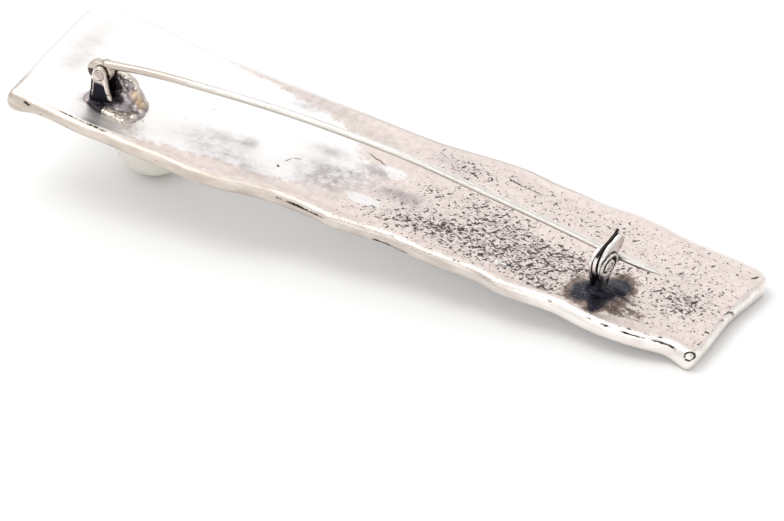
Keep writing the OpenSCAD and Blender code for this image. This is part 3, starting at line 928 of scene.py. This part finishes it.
# Small round beads of solder on the far lug: middle, radius
BEADS = (
    (-27.4, -4.34, 3.02, 0.21), (-26.8, -4.34, 2.95, 0.24), (-26.16, -4.32, 2.22, 0.25),
    (-27.2, -4.38, 2.19, 0.15), (-26.1, -4.34, 1.4, 0.2), (-25.7, -4.32, 0.95, 0.22),
    (-25.3, -4.45, 0.6, 0.24), (-25, -5, 0.25, 0.2), (-25.3, -6.1, 0.14, 0.3),
    (-26.15, -6.2, 0.16, 0.19), (-26.7, -6.5, 0.14, 0.2), (-26.8, -7.2, 0.1, 0.22),
    (-26.15, -7.15, 0.1, 0.18), (-24.3, -6, 0.1, 0.18))
GOLD_BEADS = BEADS[4:7]
# How deep the outlines of ears and webs reach into the bar
SUNK = -0.3


def ear_loop(outline, left, right):
    """Outline of a hinge ear, with two corners sunk in the bar."""
    return np.concatenate([[(left, SUNK)], loop_through(outline, 4)[4:-7], [(right, SUNK)]])


def build_hinge(silver, dull):
    """Near ear with a rolled rim, and the lumpy far lug with its beads of solder."""
    low = HINGE_W - INNER - EAR_T
    near_loop = ear_loop(NEAR_EAR, -30.35, -27.7)
    sheet = sheet_solid(near_loop, low + 0.06, low + EAR_T, 0.1, along_place)
    line = [(l, low + 0.17, n) for l, n in inset_loop(near_loop, 0.15)[8:-4]]
    ear, co = fused("hinge_near_ear", [sheet, tube(line, 0.19)], 0.05, 3, (0.012, 2.5), 5)
    x, y, z = co.T
    depth = inside_by(near_loop, co[:, [0, 2]])
    face = ramp(0.26, 0.4, depth) * ramp(low + 0.2, low + 0.1, y)
    # Partly oxide, partly painted shade: the ear's inner face, towards the gap, is darkened
    gap_side_shade = ramp(low + EAR_T - 0.16, low + EAR_T - 0.06, y)
    left_edge = ramp(-29.9, -30.2, x) * ramp(3, 2.2, z)
    soot = np.maximum.reduce([
        face * ramp(2.7, 2, z), 0.95 * gap_side_shade, ramp(1.3, 0.4, z), 0.9 * left_edge])
    fit(ear, silver, soot=soot, tint=face * 0.85)

    low = HINGE_W + INNER
    far_loop = ear_loop(FAR_EAR, -30.3, -25.3)
    web = sheet_solid(
        np.array([(-30.2, SUNK), (-30.2, 0.6), (-27.8, 0.6), (-27.8, SUNK)]),
        HINGE_W - INNER - 0.1, low + 0.1, 0.02, along_place)
    rim_line = [(l, low + 0.16, n) for l, n in inset_loop(far_loop, 0.12)[18:-6]]
    lumps = [
        sheet_solid(far_loop, low, low + EAR_T, 0.1, along_place), web, tube(rim_line, 0.15),
        ball((-27.4, -3.7, 1), (1.3, 0.6, 1.8)), ball((-26.4, -3.9, 0.6), (1.1, 0.95, 1.4)),
        ball((-27.6, -4.7, 0.2), (2, 1.5, 0.75)), ball((-27, -4.5, 0.5), (1.3, 0.8, 1)),
        ball((-25.7, -4.1, 0.2), (1, 1.1, 0.7))]
    lumps += [ball(bead[:3], (bead[3],) * 3, 8, 12) for bead in BEADS]
    lumps += [ball((*place, 0), size) for place, size in SOLDER_FLOW]
    lug, co = fused("hinge_far_lug", lumps, 0.06, 3, (0.05, 2.2), 3)
    x, y, z = co.T
    bright = 0
    gold = 0
    for bead in BEADS:
        d = np.linalg.norm(co - bead[:3], axis=1)
        bright = np.maximum(bright, ramp(bead[3] + 0.14, bead[3] - 0.02, d))
        if bead in GOLD_BEADS:
            gold = np.maximum(gold, ramp(0.75, 0.15, d))
    for l, w, n in rim_line:
        d = np.linalg.norm(co - (l, w - 0.05, n), axis=1)
        bright = np.maximum(bright, 0.9 * ramp(0.28, 0.16, d))
    away = np.linalg.norm((co - (-28.6, -5.3, 0.5)) / (1.7, 1.1, 1), axis=1)
    pool = np.clip(1.6 - away, 0, 1) * (0.35 + 0.65 * ramp(-30.5, -29.5, x))
    back_side = ramp(low + 0.2, low + EAR_T, y)
    run_out = ramp(-6, -6.9, y) * 0.6
    # Painted shade: the far lug's face along the gap between the ears is darkened
    between = ramp(low + 0.22, low + 0.05, y) * ramp(-28, -28.6, x)
    between *= 0.35 + 0.65 * ramp(-30.5, -29.7, x)
    low_dark = 0.35 * (1 - bright) * ramp(2.4, 1, z)
    fit(lug, dull, soot=np.maximum.reduce([low_dark, pool, 0.95 * between]),
        tint=(1 - bright) * (1 - 0.5 * back_side) * (1 - run_out),
        gold=np.maximum(0.8 * gold, 0.25 * run_out))


def build_catch(silver, black):
    """Catch body: two cheeks with the boss round the latch rivet, on one blackened foot."""
    back = -2 * CHEEK_T - SLOT_W
    front = sheet_solid(loop_through(FRONT_CHEEK, 5), -CHEEK_T, 0, CHEEK_BEVEL, catch_place)
    rear = sheet_solid(loop_through(REAR_CHEEK, 5), back, back + CHEEK_T, CHEEK_BEVEL, catch_place)
    ring = [(1.36, -CHEEK_T / 2), (1.36, 0.08), (1.32, 0.16), (1.22, 0.21), (1.08, 0.21),
            (0.95, 0.16), (0.87, 0.08), (0.82, 0.03)]
    parts = [front, rear, lathe(ring, boss_place)]
    body, co = fused("catch_cheeks", parts, 0.05, 2, (0.012, 2.6), 11)
    x, h, z = to_catch(co).T
    # Painted shade on the inner walls of the slot between the cheeks
    slot_wall_shade = ramp(back + CHEEK_T - 0.13, back + CHEEK_T - 0.04, x)
    slot_wall_shade *= ramp(-CHEEK_T + 0.13, -CHEEK_T + 0.04, x)
    away = np.hypot(h - LATCH_PIVOT[0], z - LATCH_PIVOT[1])
    # Painted shade in the crease round the outer edge of the boss
    crease_shade = 0.95 * bell(away, 1.44, 0.12) * ramp(-0.16, -0.06, x)
    crease_shade *= 1 - 0.65 * ramp(0.2, 1.1, h)
    # Painted shade in the groove round the rivet
    groove = 0.95 * bell(away, 0.82, 0.13) * ramp(-0.1, 0, x)
    # Painted shade on the right side of the boss
    boss_side_shade = bell(away, 1, 0.17) * ramp(-0.1, 0.05, x)
    boss_side_shade *= 0.9 * ramp(-0.1, 0.6, h - LATCH_PIVOT[0])
    near_edge = h - np.interp(z, (1, 2.1, 3.45), (-0.32, -0.7, -1.62))
    spike = ramp(0.5, 0.36, near_edge) * ramp(0.8, 1.1, z)
    spike *= ramp(-CHEEK_T - 0.1, -CHEEK_T + 0.1, x)
    # Painted shade in the notch where the wire comes out, and a painted shade patch high on the right
    # of the front cheek
    notch_shade = 0.95 * bell(h, 1.28, 0.22) * bell(z, 3.9, 0.45)
    shade = 0.5 * bell(h, 0.95, 0.35) * bell(z, 5.7, 0.35)
    foot = ramp(2.7, 1.9, z) * (1 - spike)
    tint = 0.6 * ramp(-0.12, -0.04, x) * ramp(0.2, 0.9, h) * (away > 1.3)
    soot = np.maximum.reduce([slot_wall_shade, crease_shade, groove, foot, boss_side_shade, notch_shade, shade])
    fit(body, silver, soot=soot, tint=tint)

    foot_loop = np.array([
        (-0.42, SUNK), (-0.42, 0.9), (-0.3, 1.5), (0.2, 1.5), (0.34, 0.9), (0.36, SUNK)])
    lumps = [
        sheet_solid(foot_loop, back + 0.05, -0.05, 0.05, catch_place),
        ball((25.6, -4.9, 0.15), (1.7, 1.1, 0.62)), ball((25, -4.9, 0.3), (0.9, 0.7, 0.8)),
        ball((26, -5.3, 0.3), (0.7, 0.7, 0.6)), ball((26.6, -3.9, 0.1), (1.3, 0.9, 0.4))]
    solder, co = fused("catch_foot", lumps, 0.06, 4, (0.06, 2.2), 9)
    fit(solder, black, soot=np.full(len(co), 0.95))


def build_latch(silver):
    """Claw of the safety catch, in its slot between the cheeks."""
    low = -CHEEK_T - SLOT_W + LATCH_GAP
    high = low + SLOT_W - 2 * LATCH_GAP
    sheet = sheet_solid(loop_through(CLAW, 5), low, high, CHEEK_BEVEL, catch_place)
    claw, co = fused("safety_latch", [sheet], 0.04, 2, (0.008, 2.6), 17)
    x, _, z = to_catch(co).T
    # Painted shade: the claw's top edge between the cheeks and its lower part deep in the slot are
    # darkened
    edge = np.abs(x - (low + SLOT_W / 2 - LATCH_GAP))
    top = ramp(5, 5.7, z) * (edge < 0.17)
    fit(claw, silver, "catch_latch", body="latch", slot="bright_silver",
        soot=np.maximum(top, ramp(3.6, 2.8, z)))


def build_rivets(silver):
    """Both rivets, with low round heads."""
    reach = INNER + EAR_T + 0.03
    head = [(0.02, 0.15), (0.22, 0.145), (0.4, 0.12), (0.52, 0.07), (0.57, 0.02), (0.57, 0),
            (RIVET_R, 0)]
    profile = [(r, -reach - z) for r, z in head] + [(r, reach + z) for r, z in head[::-1]]
    points, faces = lathe(profile, hinge_place, 40)
    rivet = new_object("hinge_rivet_turned", points, faces, True)
    fit(rivet, silver, "hinge_rivet", tint=np.full(len(points), 1))

    back = -2 * CHEEK_T - SLOT_W - 0.03
    profile = [
        (0.02, back - 0.15), (0.3, back - 0.14), (0.5, back - 0.09), (0.55, back), (RIVET_R, back),
        (RIVET_R, 0.15), (0.66, 0.15), (0.7, 0.19), (0.69, 0.26), (0.63, 0.32), (0.54, 0.34),
        (0.46, 0.32), (0.41, 0.27), (0.36, 0.25), (0.28, 0.28), (0.16, 0.3), (0.02, 0.305)]
    sides = 48
    rivet = new_object("latch_rivet_turned", *lathe(profile, boss_place, sides), True)
    ring = np.array([r for r, _ in profile]).repeat(sides)
    # Painted shade in the groove round the rivet's head
    soot = np.where((ring > 0.33) & (ring < 0.43), 0.75, 0.05)
    fit(rivet, silver, "latch_rivet", slot="bright_silver", soot=soot)


def arch_at(l):
    """Height of the wire's middle, smooth through the table."""
    x = PIN_ARCH[:, 0]
    y = PIN_ARCH[:, 1]
    i = int(np.clip(np.searchsorted(x, l, side="right") - 1, 0, len(x) - 2))
    before = max(i - 1, 0)
    after = min(i + 2, len(x) - 1)
    span = x[i + 1] - x[i]
    t = (l - x[i]) / span
    rise_p = (y[i + 1] - y[before]) / (x[i + 1] - x[before]) * span
    rise_q = (y[after] - y[i]) / (x[after] - x[i]) * span
    return y[i] + t * (rise_p + t * (
        3 * (y[i + 1] - y[i]) - 2 * rise_p - rise_q + t * (2 * (y[i] - y[i + 1]) + rise_p + rise_q)))


# Wire: points round it and along it, where it starts and ends, and where it tapers
WIRE_SIDES = 28
WIRE_STEPS = 220
POINT_STEPS = 16
WIRE_FROM = -29.55
WIRE_TO = 27.1
TAPER_FROM = -29.5
TAPER_LEN = 56.6
HEAD_SIDES = 72
HEAD_R = 1.06
# Second, smaller disc of the head, where the wire comes out: radius, shift along and up
NECK_R = 1.04
NECK_SHIFT = np.array((-0.62, -0.06))
# Outline across the head: share of the way from bore to rim, share of the thickness
HEAD_RINGS = ((0, 0.5), (0.5, 0.5), (0.86, 0.49), (0.94, 0.45), (0.985, 0.38), (1, 0.28))


def build_pin(silver):
    """Pin: drilled head, arched wire, straight end and ground point."""
    path = [(l, arch_at(l)) for l in np.linspace(WIRE_FROM, WIRE_TO, WIRE_STEPS)]
    arch_l, arch_n = PIN_ARCH[-1]
    end_l, end_n = PIN_SHOULDER
    tilt = (end_n - arch_n) / (end_l - arch_l)
    for l in np.linspace(WIRE_TO + 0.2, end_l, 8):
        path.append((l, arch_n + tilt * (l - arch_l)))
    shoulder = len(path) - 1
    step = 1 / math.sqrt(1 + tilt * tilt + PIN_DRIFT ** 2)
    for k in range(1, POINT_STEPS + 1):
        l = end_l + POINT_LEN * step * k / POINT_STEPS
        path.append((l, end_n + tilt * (l - end_l)))
    middle = np.array([(l, HINGE_W + (l - HINGE_L) * PIN_DRIFT, n) for l, n in path])
    along = unit(np.gradient(middle, axis=0))
    side = unit(np.cross(along, (0, 0, 1)))
    up = np.cross(side, along)
    l = middle[:, 0]
    r = WIRE_R + (TIP_R - WIRE_R) * np.clip((l - TAPER_FROM) / TAPER_LEN, 0, 1)
    r = r + 0.1 * bell(l, -29.6, 1.4)
    k = np.clip((np.arange(len(l)) - shoulder) / POINT_STEPS, 0, 1)
    r = np.where(k > 0, TIP_R * (1 - k ** 1.25) + 0.045 * k, r)
    c, s = circle(WIRE_SIDES)
    rows = [m + radius * (c * u - s * v) for m, v, u, radius in zip(middle, side, up, r)]
    rows.append(middle[-1] + along[-1] * 0.03 + 0.4 * (rows[-1] - middle[-1]))
    wire = np.concatenate(rows), ring_faces(len(rows), WIRE_SIDES)

    # Head: the outline round two discs, with the bore for the rivet
    ray = np.hstack(circle(HEAD_SIDES))
    inner = ray @ NECK_SHIFT
    neck = inner + np.sqrt(np.maximum(NECK_R ** 2 - (NECK_SHIFT @ NECK_SHIFT - inner ** 2), 0))
    reach = np.maximum(HEAD_R, neck)
    bore = RIVET_R + FIT_GAP
    rows = []
    for share, z in [*HEAD_RINGS, *[(share, -z) for share, z in HEAD_RINGS[::-1]]]:
        radius = bore + (reach - bore) * share
        rows.append(np.column_stack([
            HINGE_L + ray[:, 0] * radius, np.full(HEAD_SIDES, HINGE_W + z * HEAD_T),
            HINGE_H + ray[:, 1] * radius]))
    faces = ring_faces(len(rows), HEAD_SIDES, False)
    last = (len(rows) - 1) * HEAD_SIDES
    for i in range(HEAD_SIDES):
        j = (i + 1) % HEAD_SIDES
        faces.append((last + i, last + j, j, i))

    points, faces = joined([wire, (np.concatenate(rows), faces)])
    pin = new_object("pin_wire", points, faces, True)
    under = np.zeros(len(points))
    in_wire = len(wire[0])
    # Painted shade: the lower side of the wire is marked for darkening
    under[:in_wire] = np.tile(ramp(0.45, -0.35, c[:, 0]), len(middle) + 1)
    # Painted shade: the head's flat sides, low down between the ears, are darkened
    soot = (np.abs(points[:, 1] - HINGE_W) > 0.44) & (points[:, 2] < 3.4)
    soot[:in_wire] = False
    fit(pin, silver, "pin_stem", body="pin", slot="bright_silver", under=under, soot=0.8 * soot)


def build_pearl(lustre, silver):
    """Slightly off-round pearl, half drilled, on its peg."""
    hole = PEG_R + 0.05
    start = math.asin(hole / PEARL_R)
    profile = [(0.02, -0.45), (hole, -0.45), (hole, PEARL_R * math.cos(start) - 0.04)]
    for a in np.linspace(start + 0.012, math.pi - 0.01, 64):
        profile.append((PEARL_R * math.sin(a), PEARL_R * math.cos(a)))
    points, faces = lathe(profile, lambda p: p + PEARL_CENTRE, 96)
    away = points - PEARL_CENTRE
    outer = np.linalg.norm(away, axis=1) > PEARL_R - 0.1
    uneven = np.array([noise.noise(Vector(p) * 0.33) for p in away])
    low = np.clip(-away[:, 2] / PEARL_R, 0, 1)
    size = np.where(outer, 1 + 0.01 * uneven * (1 - low) - 0.004, 1)
    pearl = new_object("pearl_drop", PEARL_CENTRE + away * size[:, None], faces, True)
    fit(pearl, lustre, "pearl", slot="pearl")

    top = -thick_at(PEARL_AT[0]) + 0.2
    low_end = PEARL_N - 0.38
    profile = [(0.02, low_end), (PEG_R - 0.08, low_end), (PEG_R, low_end + 0.08), (PEG_R, -1.5),
               (PEG_R + 0.05, -1.45), (PEG_R + 0.16, -1.4), (PEG_R + 0.16, top)]
    points, faces = lathe(profile, lambda p: p + (*PEARL_AT, 0), 40)
    peg = new_object("pearl_peg", points, faces, True)
    fit(peg, silver, soot=np.full(len(points), 0.3))


fit(build_plate(), bar_silver(), "bar")
worn = cast_silver("worn_cast_silver", dark=(0.03, 0.03, 0.042), clean=(0.78, 0.71, 0.64), rough=0.3)
bright = cast_silver("bright_cast_silver")
scorched = cast_silver("scorched_solder", dark=(0.035, 0.035, 0.05), rough=0.3)
dull = cast_silver("dull_solder_silver", dark=(0.06, 0.05, 0.06), clean=(0.86, 0.81, 0.73), rough=0.28,
                   face=(0.5, 0.44, 0.455))
build_hinge(worn, dull)
build_catch(bright, scorched)
build_latch(bright)
build_rivets(bright)
build_pin(wire_silver())
build_pearl(pearl_lustre(), worn)

FLOOR_HALF = 1.5
FLOOR_DROP = 2e-5


def build_floor():
    """Plain pale table just under the object."""
    corners = ((-1, -1), (1, -1), (1, 1), (-1, 1))
    places = [(x * FLOOR_HALF, y * FLOOR_HALF, -FLOOR_DROP) for x, y in corners]
    floor = raw_object("floor", places, [(0, 1, 2, 3)])
    n = surface("pale_table")
    texture = n.add("ShaderNodeTexCoord").outputs["Object"]
    base = n.mix(n.noise(texture, 60), (0.93, 0.93, 0.93), (0.95, 0.95, 0.945))
    floor.data.materials.append(n.finish(base, 0.7, **{"Specular IOR Level": 0.2}))


build_floor()

# Camera at the photo's angle, square on to its aim
AZIMUTH = math.radians(27.092)
ELEVATION = math.radians(32.348)
DISTANCE = 1.2
SENSOR = 36
PHOTO_WIDTH = 784
FOCAL_PIXELS = 12288.6
back = Vector((
    math.sin(AZIMUTH) * math.cos(ELEVATION), -math.cos(AZIMUTH) * math.cos(ELEVATION),
    math.sin(ELEVATION)))
origin = Vector((*FOOTPRINT_SHIFT, LIFT)) * MM
aim = Vector((2.285, -3.3875, -0.083)) * MM
camera_data = bpy.data.cameras.new("camera")
camera_data.sensor_width = SENSOR
camera_data.lens = SENSOR * FOCAL_PIXELS / PHOTO_WIDTH
camera_data.clip_start = 0.05
camera_data.clip_end = 20
camera = add_object("camera", camera_data)
camera.location = origin + back * DISTANCE
camera.rotation_euler = (aim - camera.location).to_track_quat("-Z", "Y").to_euler()
bpy.context.scene.camera = camera


def area_light(name, at, size, power):
    """A soft light that looks at the object."""
    data = bpy.data.lights.new(name, "AREA")
    data.shape = "RECTANGLE"
    data.size = size[0]
    data.size_y = size[1]
    data.energy = power
    lamp = add_object(name, data)
    lamp.location = at
    lamp.rotation_euler = (-Vector(at)).to_track_quat("-Z", "Y").to_euler()


area_light("rear_softbox", (-0.25, 0.62, 0.55), (0.7, 0.45), 0.2)
area_light("top_softbox", (-0.36, -0.14, 0.84), (0.5, 0.5), 2.4)
area_light("front_fill", (0.1, -0.9, 0.45), (1.2, 0.7), 2.2)

# Grey surroundings that grow white towards the upper rear
world = bpy.data.worlds.new("studio")
bpy.context.scene.world = world
sky = Nodes(world, "Background")
place = sky.add("ShaderNodeTexCoord").outputs["Generated"]
lean = sky.vector("DOT_PRODUCT", place, (-0.2, 0.6, 0.77), output="Value")
shade = sky.add("ShaderNodeValToRGB", {0: sky.math("MULTIPLY_ADD", lean, 0.5, 0.5)})
ends = shade.color_ramp.elements
ends[0].position = 0
ends[0].color = (0.42, 0.41, 0.4, 1)
ends[1].position = 1
ends[1].color = (1, 1, 1, 1)
sky.set(sky.shader.inputs["Color"], shade.outputs[0])
sky.set(sky.shader.inputs["Strength"], 1)

bpy.context.scene.view_settings.view_transform = "Standard"
